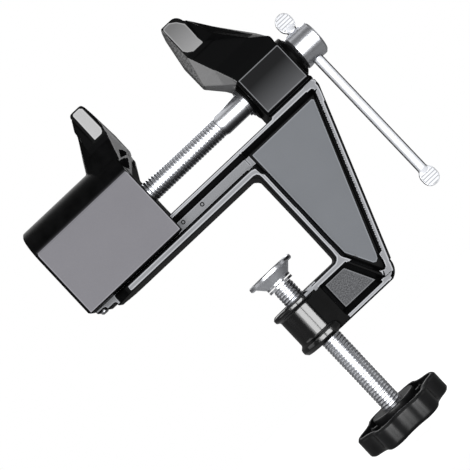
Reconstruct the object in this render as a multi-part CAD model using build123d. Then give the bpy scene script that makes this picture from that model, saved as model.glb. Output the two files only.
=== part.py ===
from build123d import *
import os
from math import cos, pi, radians, sin, sqrt

os.makedirs("parts", exist_ok=True)

# Mini table vise in millimetres, +Z up, jaws opening along X.
# The origin is on the clamp screw's axis, in the face that sits on the table.

# Running fits
SCREW_CLEARANCE = 0.05
SLIDE_CLEARANCE = 0.2
END_GAP = 0.1

# Threaded rods
THREAD_R = 4.0
THREAD_CHAMFER = 0.7

# Beam that the moving jaw slides on
BEAM_HALF_WIDTH = 9.0
BEAM_HEIGHT = 10.6
TAIL_INSET = 1.0
TAIL_LENGTH = 7.5
TAIL_UNDERSIDE_Z = 1.5
TAIL_CORNER_R = 1.0
TOP_FLANGE_EDGE = 1.7
LOWER_FLANGE_EDGE = 2.9
GROOVE_DEPTH = 4.0
GROOVE_TOP_SLOPE = 1.4
GROOVE_FLOOR_SLOPE = 0.4
GROOVE_END_X = 21.1

# C-shaped frame
THROAT_X = 19.25
THROAT_FOOT_X = 19.9
THROAT_DEPTH = 40.8
THROAT_CORNER_R = 1.6
HEEL_X = 57.8
HEEL_Z = 8.2
HEEL_R = 2.0
TOE_X = 32.1
ARM_HEIGHT = 18.2
TOE_R = 2.6
RIM_WIDTH = 1.3
INNER_RIM_WIDTH = 2.3
ARM_RIM_WIDTH = 2.0
RIB_WIDTH = 0.9
RECESS_DEPTH = 4.0
RECESS_DRAFT_DEG = 21.0
RIB_TOP_X = 21.9
RIB_RUN_X = 5.5
RIB_RUN_Z = 11.0

# Boss for the clamp screw
BOSS_R = 9.5
BOSS_LIP_R = 11.0
BOSS_TOP_LIP = 2.9
BOSS_LOWER_LIP = 4.1
BOSS_LIP_FLAT_R = 9.8
BOSS_LIP_SHARE = 0.45
LIP_COUNT = 3

# Spindle line and the boss that carries it
SPINDLE_Z = 22.4
SHANK_R = 4.32
SHOULDER_START_X = 36.7
SHOULDER_END_X = 56.8
SHOULDER_HALF_WIDTH = 13.0
SHOULDER_BOTTOM_Z = 11.6
SHOULDER_TOP_Z = 27.3
SHOULDER_EDGE_BEVEL = 0.7
COLLAR_R = 8.2
INNER_COLLAR_LENGTH = 1.1
OUTER_COLLAR_LENGTH = 3.2
OUTER_COLLAR_BEVEL = 1.2

# Jaws
JAW_TOP_Z = 60.4
JAW_TIP_HALF_WIDTH = 8.0
PATCH_BOTTOM_Z = 47.0
GRIP_BOTTOM_Z = 36.5
GRIP_BEVEL = 2.4
JAW_OPENING = 34.7
FIXED_GRIP_X = 28.0
FIXED_TIP_EASE = 2.3
FIXED_SIDE_EASE = 2.7
FIXED_BACK_X = 38.5
FIXED_MID_BACK_X = 46.9
FIXED_KNEE_BACK_X = 50.1
FIXED_KNEE_MID_X = 54.5
FIXED_KNEE_EDGE_X = 34.4
KNEE_HALF_WIDTH = 10.1
KNEE_FLAT_HALF = 3.6
CREST_HALF_WIDTH = 12.0
CREST_FLAT_HALF = 6.5
ROOT_FLAT_HALF = 10.6
BACK_COUNT = 6
FIXED_TIP_MID_X = 40.5
FIXED_CREST_Z = 31.0
FIXED_CREST_BACK_X = 55.7
FIXED_CREST_EDGE_X = 36.2
FIXED_CREST_GRIP_X = 33.5
FIXED_TIP_FRONT_R = 0.9
FIXED_TIP_BACK_R = 3.2
FIXED_TIP_KNEE_Z = 57.4
JAW_BACK_BOW = 0.1
JAW_ROOT_BEVEL = 0.4
MOVING_TIP_EASE = 0.8
MOVING_SIDE_EASE = 1.2
MOVING_TIP_LENGTH = 6.5
MOVING_MID_LENGTH = 14.7
MOVING_KNEE_LENGTH = 15.0
MOVING_KNEE_MID_LENGTH = 20.4
MOVING_KNEE_EASE = 4.2
MOVING_ROOT_LENGTH = 17.5
MOVING_ROOT_MID_LENGTH = 20.2
TIP_R = 1.3

# Sliding block of the moving jaw
BLOCK_SETBACK = 4.9
BLOCK_LENGTH = 43.6
BLOCK_HALF_WIDTH = 13.0
BLOCK_BOTTOM_Z = 3.7
BLOCK_SHOULDER_Z = 29.4
BLOCK_EDGE_BEVEL = 0.9
POCKET_HALF_WIDTH = 5.2
POCKET_BASE_Z = 32.6
POCKET_WALL_HEIGHT = 2.4
POCKET_DEPTH = 1.9
POCKET_STEP = 1.4
POCKET_STEP_DEPTH = 2.5
STOP_SLOT_HALF_WIDTH = 1.6

# Nut held in the block
NUT_FLATS = 13.0
NUT_THICKNESS = 6.5
NUT_SETBACK = 2.0
SPINDLE_TAIL_BORE_R = 4.5

# Spindle, its head and its retaining pieces
THREAD_END_X = 23.1
HEAD_R = 6.9
HEAD_LENGTH = 10.0
HEAD_CHAMFER = 0.8
BAR_HOLE_CLEARANCE = 0.15
BAR_SEAT_R = 3.3
BAR_SEAT_DEPTH = 1.2
CLIP_WASHER_R = 5.9
CLIP_WASHER_THICKNESS = 0.6
CLIP_THICKNESS = 0.7
CLIP_R = 5.6
CLIP_GROOVE_DEPTH = 0.8
CLIP_MOUTH_DEG = 70.0
CLIP_LOBE_WIDTH = 1.5
CLIP_LOBE_STEP_DEG = 115.0
CLIP_RELIEF_R = 4.8

# Tommy bar
BAR_R = 1.95
BAR_LENGTH = 82.5
PADDLE_LENGTH = 7.6
PADDLE_WIDTH = 6.4
PADDLE_THICKNESS = 1.8
PADDLE_BLEND = 2.2
PADDLE_ROOT_WIDTH = 5.1
BAR_SEAT_GAP = 0.1

# Stop screw under the tail of the beam
STOP_SCREW_INSET = 3.0
STOP_SCREW_R = 1.0
STOP_HEAD_R = 1.6
STOP_HEAD_HEIGHT = 1.1
STOP_SEAT_RISE = 1.3
STOP_TIP_RISE = 1.2

# Clamp screw and swivel pad
PAD_TOP_Z = -27.3
PAD_R = 9.65
PAD_RIM = 1.9
PAD_RIM_BEVEL = 0.45
PAD_SKIRT_TOP_R = 7.9
PAD_SKIRT_FOOT_R = 5.2
PAD_SKIRT_HEIGHT = 2.9
PAD_LIP_HEIGHT = 0.8
BALL_DEPTH = 3.9
BALL_R = 2.8
BALL_COUNT = 6
BALL_CLEARANCE = 0.2
NECK_R = 1.9
MOUTH_R = 2.45
SOCKET_REACH = 0.8
PAD_RING_GAP = 0.4
PAD_RING_HEIGHT = 0.9
PAD_RING_R = 5.2
SCREW_TOP_GAP = 0.1

# Knob on the clamp screw
KNOB_TOP_Z = -92.6
KNOB_HEIGHT = 8.4
KNOB_R = 18.4
KNOB_VALLEY_R = 15.4
KNOB_LOBE_R = 6.0
KNOB_LOBES = 6
KNOB_WALL = 1.7
KNOB_FLOOR = 2.6
KNOB_EDGE_BEVEL = 0.9
HUB_R = 9.3
HUB_RISE = 1.3
KNOB_RIB_WIDTH = 1.6
KNOB_RIB_DROP = 1.8
INSERT_FLATS = 13.0
INSERT_THICKNESS = 5.0
INSERT_DROP = 2.4
SCREW_END_RISE = 1.6

# Values that follow from the sizes above
MOVING_GRIP_X = FIXED_GRIP_X - JAW_OPENING
BLOCK_FRONT_X = MOVING_GRIP_X - BLOCK_SETBACK
BLOCK_REAR_X = BLOCK_FRONT_X - BLOCK_LENGTH
BEAM_TAIL_X = BLOCK_REAR_X + TAIL_INSET
FLANGE_END_X = BEAM_TAIL_X + TAIL_LENGTH
STOP_SCREW_X = BLOCK_REAR_X + STOP_SCREW_INSET
ARM_TOP_Z = -THROAT_DEPTH
ARM_BOTTOM_Z = -THROAT_DEPTH - ARM_HEIGHT
FLANGE_UNDER_Z = BEAM_HEIGHT - TOP_FLANGE_EDGE
LIP_FRONT_X = GROOVE_END_X - JAW_OPENING
HEAD_START_X = SHOULDER_END_X + OUTER_COLLAR_LENGTH + END_GAP
HEAD_END_X = HEAD_START_X + HEAD_LENGTH
BAR_HOLE_X = HEAD_START_X + HEAD_LENGTH / 2
COLLAR_FACE_X = SHOULDER_START_X - INNER_COLLAR_LENGTH
WASHER_START_X = COLLAR_FACE_X - END_GAP - CLIP_WASHER_THICKNESS
CLIP_START_X = WASHER_START_X - CLIP_THICKNESS
NUT_FACE_X = BLOCK_FRONT_X - NUT_SETBACK
NUT_REAR_X = NUT_FACE_X - NUT_THICKNESS
POCKET_REAR_X = BLOCK_FRONT_X - POCKET_DEPTH
BALL_Z = PAD_TOP_Z - BALL_DEPTH
PAD_FOOT_Z = PAD_TOP_Z - PAD_RIM - PAD_SKIRT_HEIGHT - PAD_LIP_HEIGHT
PAD_RING_TOP_Z = PAD_FOOT_Z - PAD_RING_GAP
SCREW_TOP_Z = PAD_RING_TOP_Z - PAD_RING_HEIGHT - SCREW_TOP_GAP
KNOB_BOTTOM_Z = KNOB_TOP_Z - KNOB_HEIGHT
HUB_TOP_Z = KNOB_TOP_Z + HUB_RISE
BAR_TOP_Z = SPINDLE_Z + HEAD_R + BAR_SEAT_GAP + PADDLE_LENGTH


def side_face(points):
    """A face in the plane Y = 0 from points (x, z)."""
    return Plane.XZ * make_face(Polyline(*points, close=True))


def end_prism(points, start_x, end_x):
    """A prism along the vise from points (y, z)."""
    profile = Plane.YZ * make_face(Polyline(*points, close=True))
    return Pos(start_x, 0, 0) * extrude(profile, end_x - start_x)


def rod_x(radius, start_x, end_x, z=SPINDLE_Z):
    """A cylinder along X."""
    length = end_x - start_x
    return Pos(start_x + length / 2, 0, z) * Rot(0, 90, 0) * Cylinder(radius, length)


def rod_z(radius, start_z, end_z, x=0.0):
    """A cylinder along Z."""
    length = end_z - start_z
    return Pos(x, 0, start_z + length / 2) * Cylinder(radius, length)


def both_sides(solid):
    """The solid and its mirror image across the plane Y = 0."""
    return [solid, mirror(solid, about=Plane.XZ)]


def chords(arc, count):
    """Points along a flat arc, its ends included, for that many straight runs."""
    points = [arc @ (index / count) for index in range(count + 1)]
    return [(point.X, point.Y) for point in points]


def meet(line_a, line_b):
    """Where two lines in the XZ plane cross, each line a point and a direction."""
    (ax, az), (au, aw) = line_a
    (bx, bz), (bu, bw) = line_b
    reach = ((bx - ax) * bw - (bz - az) * bu) / (au * bw - aw * bu)
    return (ax + au * reach, az + aw * reach)


def inset(start, end, distance):
    """The line through two points (x, z), moved to the right of its direction."""
    run = (end[0] - start[0], end[1] - start[1])
    length = sqrt(run[0] ** 2 + run[1] ** 2)
    shift = (run[1] / length * distance, -run[0] / length * distance)
    return ((start[0] + shift[0], start[1] + shift[1]), run)


# Frame

def frame_plate():
    """The beam, the C and the lower arm as one plate."""
    corners = [
        (BEAM_TAIL_X, BEAM_HEIGHT), (HEEL_X, BEAM_HEIGHT), (HEEL_X, HEEL_Z),
        (TOE_X, ARM_BOTTOM_Z), (0, ARM_BOTTOM_Z), (0, ARM_TOP_Z),
        (THROAT_FOOT_X, ARM_TOP_Z), (THROAT_X, 0), (FLANGE_END_X, 0),
        (FLANGE_END_X, TAIL_UNDERSIDE_Z), (BEAM_TAIL_X, TAIL_UNDERSIDE_Z),
    ]
    outline = side_face(corners)
    rounded = {
        (HEEL_X, BEAM_HEIGHT): HEEL_R / 2, (HEEL_X, HEEL_Z): HEEL_R,
        (TOE_X, ARM_BOTTOM_Z): TOE_R,
        (THROAT_FOOT_X, ARM_TOP_Z): THROAT_CORNER_R, (THROAT_X, 0): THROAT_CORNER_R,
        (BEAM_TAIL_X, TAIL_UNDERSIDE_Z): TAIL_CORNER_R,
    }
    for (x, z), radius in rounded.items():
        corner = outline.vertices().sort_by_distance((x, 0, z))[0]
        outline = fillet(corner, radius)
    return extrude(outline, BEAM_HALF_WIDTH, both=True)


def flange_end_cut():
    """What is cut away to round the end of the lower flange in plan."""
    centre_x = FLANGE_END_X + BEAM_HALF_WIDTH
    length = centre_x - BEAM_TAIL_X
    height = LOWER_FLANGE_EDGE + GROOVE_FLOOR_SLOPE
    block = Pos(centre_x - length / 2, 0, height / 2) * Box(length, 2 * BEAM_HALF_WIDTH, height)
    web_half = BEAM_HALF_WIDTH - GROOVE_DEPTH
    keep_web = Pos(centre_x - length / 2, 0, height / 2) * Box(length, 2 * web_half, height)
    return block - rod_z(BEAM_HALF_WIDTH, 0, height, centre_x) - keep_web


def groove_cut():
    """The groove along one side of the beam."""
    floor_y = BEAM_HALF_WIDTH - GROOVE_DEPTH
    profile = [
        (BEAM_HALF_WIDTH, FLANGE_UNDER_Z), (floor_y, FLANGE_UNDER_Z - GROOVE_TOP_SLOPE),
        (floor_y, LOWER_FLANGE_EDGE + GROOVE_FLOOR_SLOPE), (BEAM_HALF_WIDTH, LOWER_FLANGE_EDGE),
    ]
    return end_prism(profile, BEAM_TAIL_X, GROOVE_END_X)


def drafted_recess(corners):
    """A recess with sloping walls, cut from the plate's far side."""
    opening = make_face(Polyline(*corners, close=True))
    return extrude(Plane.XZ.offset(-BEAM_HALF_WIDTH) * opening, RECESS_DEPTH, taper=RECESS_DRAFT_DEG)


def rib_line(distance):
    """The diagonal rib's centre line, moved sideways by a distance."""
    top = (RIB_TOP_X, ARM_TOP_Z - ARM_RIM_WIDTH)
    foot = (RIB_TOP_X + RIB_RUN_X, ARM_TOP_Z - ARM_RIM_WIDTH - RIB_RUN_Z)
    return inset(top, foot, distance)


def web_recess():
    """The large recess beside the throat."""
    left = inset((THROAT_X, 0), (THROAT_FOOT_X, ARM_TOP_Z), -INNER_RIM_WIDTH)
    top = inset((0, FLANGE_UNDER_Z), (HEEL_X, FLANGE_UNDER_Z), 0)
    slant = inset((HEEL_X, HEEL_Z), (TOE_X, ARM_BOTTOM_Z), RIM_WIDTH)
    rib = rib_line(-RIB_WIDTH / 2)
    return drafted_recess([meet(left, top), meet(top, slant), meet(slant, rib), meet(rib, left)])


def arm_recess():
    """The small recess beside the clamp screw's boss."""
    boss_side = inset((BOSS_R, 0), (BOSS_R, ARM_BOTTOM_Z), 0)
    top = inset((0, ARM_TOP_Z), (THROAT_X, ARM_TOP_Z), ARM_RIM_WIDTH)
    rib = rib_line(RIB_WIDTH / 2)
    bottom = inset((TOE_X, ARM_BOTTOM_Z), (0, ARM_BOTTOM_Z), ARM_RIM_WIDTH)
    return drafted_recess([meet(boss_side, top), meet(top, rib), meet(rib, bottom),
                           meet(bottom, boss_side)])


def lip_points(waist_z, face_z):
    """The rolled lip at one end of the boss, from its waist to its face."""
    swell_z = face_z + (waist_z - face_z) * BOSS_LIP_SHARE
    lip = ThreePointArc((BOSS_R, waist_z), (BOSS_LIP_R, swell_z), (BOSS_LIP_FLAT_R, face_z))
    return chords(lip, LIP_COUNT)


def clamp_boss():
    """The round boss with rolled lips that carries the clamp screw."""
    top = lip_points(ARM_TOP_Z - BOSS_TOP_LIP, ARM_TOP_Z)
    bottom = lip_points(ARM_BOTTOM_Z + BOSS_LOWER_LIP, ARM_BOTTOM_Z)
    outline = [(0, ARM_TOP_Z), *reversed(top), *bottom, (0, ARM_BOTTOM_Z)]
    return revolve(side_face(outline), Axis.Z)


def shoulder_boss():
    """The square boss with round collars that carries the spindle."""
    length = SHOULDER_END_X - SHOULDER_START_X
    height = SHOULDER_TOP_Z - SHOULDER_BOTTOM_Z
    body = Pos(SHOULDER_START_X + length / 2, 0, SHOULDER_BOTTOM_Z + height / 2) * Box(
        length, 2 * SHOULDER_HALF_WIDTH, height)
    lower = body.edges().group_by(Axis.Z)[0]
    upright = body.edges().filter_by(Axis.Z)
    body = chamfer(lower + upright, SHOULDER_EDGE_BEVEL)
    neck_height = SHOULDER_BOTTOM_Z - FLANGE_UNDER_Z + SHOULDER_EDGE_BEVEL
    neck = Pos(SHOULDER_START_X + length / 2, 0, FLANGE_UNDER_Z + neck_height / 2) * Box(
        length - 2 * SHOULDER_EDGE_BEVEL, 2 * BEAM_HALF_WIDTH, neck_height)
    inner = rod_x(COLLAR_R, COLLAR_FACE_X, SHOULDER_START_X + COLLAR_R / 2)
    outer = rod_x(COLLAR_R, SHOULDER_END_X - COLLAR_R / 2, SHOULDER_END_X + OUTER_COLLAR_LENGTH)
    outer = chamfer(outer.edges().group_by(Axis.X)[-1], OUTER_COLLAR_BEVEL)
    return body + neck + inner + outer


def jaw_section(z, grip_x, flat_half, edge_x, half, back_x, mid_x):
    """One level of a jaw as points: gripping face, bevelled front, sides and a bowed back."""
    back = ThreePointArc((back_x, half), (mid_x, 0), (back_x, -half))
    corners = [
        (grip_x, -flat_half), (grip_x, flat_half), (edge_x, half),
        *chords(back, BACK_COUNT), (edge_x, -half),
    ]
    return [(x, y, z) for x, y in corners]


def polygon(points):
    """A flat face with straight edges."""
    return Face(Wire.make_polygon([Vector(*point) for point in points]))


def faceted_loft(levels):
    """A solid of flat triangles through levels that have the same number of points."""
    faces = [polygon(levels[0]), polygon(levels[-1])]
    for upper, lower in zip(levels, levels[1:]):
        for index, start in enumerate(upper):
            following = (index + 1) % len(upper)
            faces.append(polygon([start, upper[following], lower[following]]))
            faces.append(polygon([start, lower[following], lower[index]]))
    return Solid(Shell(faces))


def tip_corner_cut(corner_x, outward, radius):
    """What rounds one top corner of a jaw's tip as seen from the side."""
    centre_x = corner_x - outward * radius
    width = 2 * BLOCK_HALF_WIDTH
    block = Pos(corner_x, 0, JAW_TOP_Z) * Box(2 * radius, width, 2 * radius)
    drum = Pos(centre_x, 0, JAW_TOP_Z - radius) * Rot(90, 0, 0) * Cylinder(radius, width)
    return block - drum


def fixed_jaw():
    """The jaw that stands on the spindle's boss."""
    flat = JAW_TIP_HALF_WIDTH - GRIP_BEVEL
    edge = FIXED_GRIP_X + FIXED_SIDE_EASE
    knee_share = (FIXED_TIP_KNEE_Z - PATCH_BOTTOM_Z) / (JAW_TOP_Z - PATCH_BOTTOM_Z)
    levels = [
        jaw_section(JAW_TOP_Z, FIXED_GRIP_X + FIXED_TIP_EASE, flat, edge, JAW_TIP_HALF_WIDTH,
                    FIXED_BACK_X, FIXED_BACK_X + JAW_BACK_BOW),
        jaw_section(FIXED_TIP_KNEE_Z, FIXED_GRIP_X + FIXED_TIP_EASE * knee_share, flat, edge,
                    JAW_TIP_HALF_WIDTH, FIXED_BACK_X, FIXED_TIP_MID_X),
        jaw_section(PATCH_BOTTOM_Z, FIXED_GRIP_X, flat, edge, JAW_TIP_HALF_WIDTH,
                    FIXED_BACK_X, FIXED_MID_BACK_X),
        jaw_section(GRIP_BOTTOM_Z, FIXED_GRIP_X, KNEE_FLAT_HALF, FIXED_KNEE_EDGE_X,
                    KNEE_HALF_WIDTH, FIXED_KNEE_BACK_X, FIXED_KNEE_MID_X),
        jaw_section(FIXED_CREST_Z, FIXED_CREST_GRIP_X, CREST_FLAT_HALF, FIXED_CREST_EDGE_X,
                    CREST_HALF_WIDTH, FIXED_CREST_BACK_X, SHOULDER_END_X),
        jaw_section(SHOULDER_TOP_Z, SHOULDER_START_X, ROOT_FLAT_HALF,
                    SHOULDER_START_X + JAW_ROOT_BEVEL, SHOULDER_HALF_WIDTH,
                    SHOULDER_END_X - SHOULDER_EDGE_BEVEL, SHOULDER_END_X),
    ]
    jaw = faceted_loft(levels)
    jaw -= tip_corner_cut(FIXED_GRIP_X + FIXED_TIP_EASE, -1, FIXED_TIP_FRONT_R)
    return jaw - tip_corner_cut(FIXED_BACK_X, 1, FIXED_TIP_BACK_R)


def clamp_frame():
    """The frame with its fixed jaw, both bosses and the beam."""
    frame = frame_plate() - flange_end_cut()
    for cut in (groove_cut(), web_recess(), arm_recess()):
        frame -= both_sides(cut)
    frame += clamp_boss()
    frame += shoulder_boss()
    frame += fixed_jaw()
    frame -= rod_z(THREAD_R + SCREW_CLEARANCE, ARM_BOTTOM_Z, ARM_TOP_Z)
    frame -= rod_x(SHANK_R + SCREW_CLEARANCE, COLLAR_FACE_X, SHOULDER_END_X + OUTER_COLLAR_LENGTH)
    seat_length = STOP_SCREW_X + STOP_HEAD_R + END_GAP - BEAM_TAIL_X
    frame -= Pos(BEAM_TAIL_X + seat_length / 2, 0, TAIL_UNDERSIDE_Z + STOP_SEAT_RISE / 2) * Box(
        seat_length, 2 * BEAM_HALF_WIDTH, STOP_SEAT_RISE)
    return frame - rod_z(STOP_SCREW_R, TAIL_UNDERSIDE_Z, BEAM_HEIGHT, STOP_SCREW_X)


def rail_stop_screw():
    """The screw whose tip stops the moving jaw at the end of the beam."""
    seat_z = TAIL_UNDERSIDE_Z + STOP_SEAT_RISE
    head = rod_z(STOP_HEAD_R, seat_z - STOP_HEAD_HEIGHT, seat_z, STOP_SCREW_X)
    head = chamfer(head.edges().group_by(Axis.Z)[0], STOP_HEAD_HEIGHT / 2)
    return head + rod_z(STOP_SCREW_R, seat_z, BEAM_HEIGHT + STOP_TIP_RISE, STOP_SCREW_X)


# Moving jaw

def sliding_block():
    """The block with its half-round top."""
    width = BLOCK_HALF_WIDTH
    top_z = BLOCK_SHOULDER_Z + width
    outline = [
        Line((-width, BLOCK_BOTTOM_Z), (width, BLOCK_BOTTOM_Z)),
        Line((width, BLOCK_BOTTOM_Z), (width, BLOCK_SHOULDER_Z)),
        ThreePointArc((width, BLOCK_SHOULDER_Z), (0, top_z), (-width, BLOCK_SHOULDER_Z)),
        Line((-width, BLOCK_SHOULDER_Z), (-width, BLOCK_BOTTOM_Z)),
    ]
    block = extrude(Plane.YZ * make_face(outline), BLOCK_LENGTH)
    block = Pos(BLOCK_REAR_X, 0, 0) * block
    return chamfer(block.edges().group_by(Axis.X)[0], BLOCK_EDGE_BEVEL)


def moving_jaw_horn():
    """The jaw that stands on the sliding block."""
    flat = JAW_TIP_HALF_WIDTH - GRIP_BEVEL / 2
    edge = MOVING_GRIP_X - MOVING_SIDE_EASE
    back = MOVING_GRIP_X - MOVING_TIP_LENGTH
    levels = [
        jaw_section(JAW_TOP_Z, MOVING_GRIP_X - MOVING_TIP_EASE, flat, edge, JAW_TIP_HALF_WIDTH,
                    back, back - JAW_BACK_BOW),
        jaw_section(PATCH_BOTTOM_Z, MOVING_GRIP_X, flat, edge, JAW_TIP_HALF_WIDTH,
                    back, MOVING_GRIP_X - MOVING_MID_LENGTH),
        jaw_section(GRIP_BOTTOM_Z, MOVING_GRIP_X, KNEE_FLAT_HALF, MOVING_GRIP_X - MOVING_KNEE_EASE,
                    KNEE_HALF_WIDTH, MOVING_GRIP_X - MOVING_KNEE_LENGTH,
                    MOVING_GRIP_X - MOVING_KNEE_MID_LENGTH),
        jaw_section(BLOCK_SHOULDER_Z, BLOCK_FRONT_X, ROOT_FLAT_HALF,
                    BLOCK_FRONT_X - JAW_ROOT_BEVEL, BLOCK_HALF_WIDTH,
                    BLOCK_FRONT_X - MOVING_ROOT_LENGTH, BLOCK_FRONT_X - MOVING_ROOT_MID_LENGTH),
    ]
    jaw = faceted_loft(levels)
    jaw -= tip_corner_cut(MOVING_GRIP_X - MOVING_TIP_EASE, 1, TIP_R)
    return jaw - tip_corner_cut(back, -1, TIP_R)


def beam_channel():
    """The channel through the block that wraps the beam's top flange."""
    wide = BEAM_HALF_WIDTH + SLIDE_CLEARANCE
    narrow = BEAM_HALF_WIDTH - GROOVE_DEPTH + SLIDE_CLEARANCE
    ceiling = BEAM_HEIGHT + SLIDE_CLEARANCE
    lip_top = FLANGE_UNDER_Z - SLIDE_CLEARANCE
    profile = [
        (-wide, ceiling), (wide, ceiling), (wide, lip_top),
        (narrow, lip_top - GROOVE_TOP_SLOPE), (narrow, BLOCK_BOTTOM_Z),
        (-narrow, BLOCK_BOTTOM_Z), (-narrow, lip_top - GROOVE_TOP_SLOPE), (-wide, lip_top),
    ]
    lip_relief = [(-wide, ceiling), (wide, ceiling), (wide, BLOCK_BOTTOM_Z), (-wide, BLOCK_BOTTOM_Z)]
    return end_prism(profile, BLOCK_REAR_X, BLOCK_FRONT_X) + end_prism(
        lip_relief, LIP_FRONT_X, BLOCK_FRONT_X)


def arch_cut(half_width, start_x, end_x):
    """An arched hole along X, as wide as given, on the pocket's base."""
    arch_z = POCKET_BASE_Z + POCKET_WALL_HEIGHT
    outline = [
        Line((-half_width, POCKET_BASE_Z), (half_width, POCKET_BASE_Z)),
        Line((half_width, POCKET_BASE_Z), (half_width, arch_z)),
        ThreePointArc((half_width, arch_z), (0, arch_z + half_width), (-half_width, arch_z)),
        Line((-half_width, arch_z), (-half_width, POCKET_BASE_Z)),
    ]
    arch = extrude(Plane.YZ * make_face(outline), end_x - start_x)
    return Pos(start_x, 0, 0) * arch


def hexagon_x(flats, start_x, end_x, z=SPINDLE_Z):
    """A hexagonal bar along X with a corner on top."""
    profile = RegularPolygon(flats / sqrt(3), 6, rotation=90)
    return Pos(start_x, 0, z) * extrude(Plane.YZ * profile, end_x - start_x)


def nut_slot():
    """The slot in the block that the nut slides up into from the channel."""
    height = SPINDLE_Z - BEAM_HEIGHT
    slot = Pos(NUT_REAR_X + NUT_THICKNESS / 2, 0, SPINDLE_Z - height / 2) * Box(
        NUT_THICKNESS, NUT_FLATS, height)
    return slot + hexagon_x(NUT_FLATS, NUT_REAR_X, NUT_FACE_X)


def stop_slot():
    """The slot in the channel's ceiling whose end meets the stop screw."""
    end_x = STOP_SCREW_X + STOP_SCREW_R + END_GAP
    length = end_x - BLOCK_REAR_X
    height = STOP_TIP_RISE + SLIDE_CLEARANCE
    return Pos(end_x - length / 2, 0, BEAM_HEIGHT + height / 2) * Box(
        length, 2 * STOP_SLOT_HALF_WIDTH, height)


def moving_jaw():
    """The sliding block with its jaw."""
    jaw = sliding_block() + moving_jaw_horn()
    jaw -= beam_channel()
    jaw -= rod_x(SPINDLE_TAIL_BORE_R, BLOCK_REAR_X, BLOCK_FRONT_X)
    jaw -= nut_slot()
    jaw -= stop_slot()
    jaw -= arch_cut(POCKET_HALF_WIDTH, POCKET_REAR_X, MOVING_GRIP_X)
    return jaw - arch_cut(POCKET_HALF_WIDTH - POCKET_STEP, POCKET_REAR_X - POCKET_STEP_DEPTH,
                          POCKET_REAR_X)


def spindle_nut():
    """The nut that the spindle turns in."""
    nut = hexagon_x(NUT_FLATS, NUT_REAR_X, NUT_FACE_X)
    return nut - rod_x(THREAD_R + SCREW_CLEARANCE, NUT_REAR_X, NUT_FACE_X)


# Spindle

def bar_hole():
    """The hole for the tommy bar through the spindle and its head."""
    radius = BAR_R + BAR_HOLE_CLEARANCE
    reach = HEAD_R + BAR_SEAT_DEPTH
    hole = rod_z(radius, SPINDLE_Z - reach, SPINDLE_Z + reach, BAR_HOLE_X)
    seat = Cone(radius, 2 * BAR_SEAT_R - radius, 2 * BAR_SEAT_DEPTH)
    top = Pos(BAR_HOLE_X, 0, SPINDLE_Z + HEAD_R) * seat
    bottom = Pos(BAR_HOLE_X, 0, SPINDLE_Z - HEAD_R) * Rot(180, 0, 0) * seat
    return hole + top + bottom


def spindle():
    """The threaded rod with its plain shank."""
    rod = rod_x(THREAD_R, NUT_REAR_X, THREAD_END_X) + rod_x(SHANK_R, THREAD_END_X, HEAD_END_X)
    groove_r = SHANK_R - CLIP_GROOVE_DEPTH
    rod -= rod_x(SHANK_R, CLIP_START_X, WASHER_START_X) - rod_x(
        groove_r, CLIP_START_X, WASHER_START_X)
    return rod - bar_hole()


def spindle_head():
    """The round head pressed on the end of the spindle."""
    head = rod_x(HEAD_R, HEAD_START_X, HEAD_END_X)
    rims = head.edges().filter_by(GeomType.CIRCLE)
    head = chamfer(rims, HEAD_CHAMFER)
    head -= rod_x(SHANK_R, HEAD_START_X, HEAD_END_X)
    return head - bar_hole()


def clip_washer():
    """The washer between the boss and the retaining clip."""
    end_x = WASHER_START_X + CLIP_WASHER_THICKNESS
    return rod_x(CLIP_WASHER_R, WASHER_START_X, end_x) - rod_x(
        SHANK_R + SCREW_CLEARANCE, WASHER_START_X, end_x)


def retaining_clip():
    """The E-shaped clip in the spindle's groove."""
    groove_r = SHANK_R - CLIP_GROOVE_DEPTH
    body = Circle(CLIP_R) - Circle(CLIP_RELIEF_R)
    lobe_reach = (CLIP_RELIEF_R + CLIP_R) / 2
    lobe = Pos(lobe_reach / 2, 0) * Rectangle(lobe_reach, CLIP_LOBE_WIDTH)
    for angle in (90, 90 + CLIP_LOBE_STEP_DEG, 90 - CLIP_LOBE_STEP_DEG):
        body += Rot(0, 0, angle) * lobe
    half_mouth = CLIP_MOUTH_DEG / 2
    reach = 2 * CLIP_R
    corners = [(0, 0), *[(reach * sin(radians(a)), -reach * cos(radians(a)))
                         for a in (-half_mouth, half_mouth)]]
    body -= make_face(Polyline(*corners, close=True))
    body -= Circle(groove_r)
    clip = extrude(Plane.YZ * body, CLIP_THICKNESS)
    return Pos(CLIP_START_X, 0, SPINDLE_Z) * clip


def paddle(root_z, outward):
    """One flattened end of the tommy bar, from its root outwards."""
    outline = Rot(0, 0, 90) * SlotOverall(PADDLE_LENGTH, PADDLE_WIDTH)
    middle_z = root_z + outward * PADDLE_LENGTH / 2
    blade = Pos(BAR_HOLE_X, 0, middle_z) * extrude(
        Plane.XZ * outline, PADDLE_THICKNESS / 2, both=True)
    round_end = Pos(BAR_HOLE_X, 0, root_z) * Circle(BAR_R)
    flat_end = Pos(BAR_HOLE_X, 0, root_z + outward * PADDLE_BLEND) * Ellipse(
        PADDLE_ROOT_WIDTH / 2, PADDLE_THICKNESS / 2)
    return blade + loft([round_end, flat_end])


def tommy_bar():
    """The sliding bar with both ends pressed flat."""
    upper_root = BAR_TOP_Z - PADDLE_LENGTH
    lower_root = BAR_TOP_Z - BAR_LENGTH + PADDLE_LENGTH
    bar = rod_z(BAR_R, lower_root, upper_root, BAR_HOLE_X)
    return bar + paddle(upper_root, 1) + paddle(lower_root, -1)


# Clamp screw

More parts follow.
